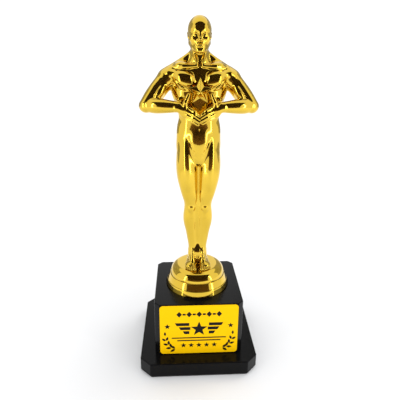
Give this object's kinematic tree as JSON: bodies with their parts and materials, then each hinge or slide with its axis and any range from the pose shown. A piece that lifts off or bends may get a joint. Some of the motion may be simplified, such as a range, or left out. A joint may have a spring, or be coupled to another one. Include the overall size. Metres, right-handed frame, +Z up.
{
  "type": "figure trophy",
  "caption": "Gold-plated standing award figure holding a star to its chest, on a stepped dome and a black two-tier plinth with a yellow label.",
  "frame": {"origin": "centre of the underside of the foam pad, where the trophy stands on a table", "axes": "+Z up from the table to the figure's head, the figure and the label face -Y, +X is to the right of a person who faces the label"},
  "size_m": [0.076, 0.076, 0.2189],
  "materials": {
    "gold_plate": "mirror gold electroplate on moulded ABS",
    "brass_insert": "turned",
    "black_gloss": "gloss black moulding",
    "yellow_film": "printed self-adhesive film, satin",
    "zinc_steel": "bright zinc plated",
    "bare_steel": "mill finish, oiled",
    "black_foam": "soft closed-cell foam sheet"
  },
  "bodies": {
    "root": {"figure_front_shell": "gold_plate", "figure_back_shell": "gold_plate", "held_star": "gold_plate", "figure_insert": "brass_insert", "pedestal_dome": "gold_plate", "plinth_block": "black_gloss", "plinth_foot": "black_gloss", "label": "yellow_film", "tie_rod": "zinc_steel", "ballast_plate": "bare_steel", "plain_washer": "zinc_steel", "lock_washer": "zinc_steel", "hex_nut": "zinc_steel", "base_pad": "black_foam"}
  },
  "joints": []
}
